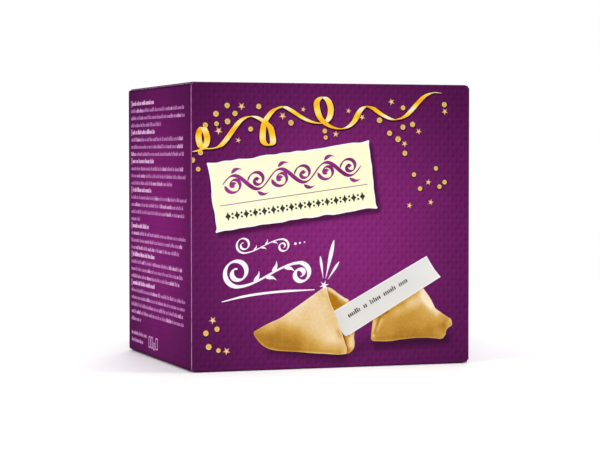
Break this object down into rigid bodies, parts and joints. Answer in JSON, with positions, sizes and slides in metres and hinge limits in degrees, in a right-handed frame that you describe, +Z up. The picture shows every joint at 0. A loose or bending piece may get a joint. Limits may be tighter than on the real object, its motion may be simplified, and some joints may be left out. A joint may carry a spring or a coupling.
{
  "type": "shut carton of fortune cookies",
  "caption": "Shut folding carton of boxboard, near a cube, that holds wrapped fortune cookies, with creased folds, a glued lap and tucked closures at top and base.",
  "frame": {"origin": "middle of the base, on the surface that the carton stands on", "axes": "+Z up, the front panel with the cream label faces -Y, +X to the right seen from the front"},
  "size_m": [0.125, 0.105, 0.12],
  "materials": {
    "purple_print": "satin varnished print on boxboard, with a fine woven texture and darker corners",
    "raw_board": "bare cut edge of the boxboard",
    "cream_print": "matte cream field with a torn outline, printed on the board",
    "gold_print": "gold ribbon and confetti, printed on the board",
    "cookie_print": "cracked cookie in baked tones, printed on the board",
    "white_print": "white and pale pink marks, printed on the board",
    "dark_print": "dark purple marks, printed on the board"
  },
  "bodies": {
    "root": {"carton": "purple_print"}
  },
  "joints": []
}
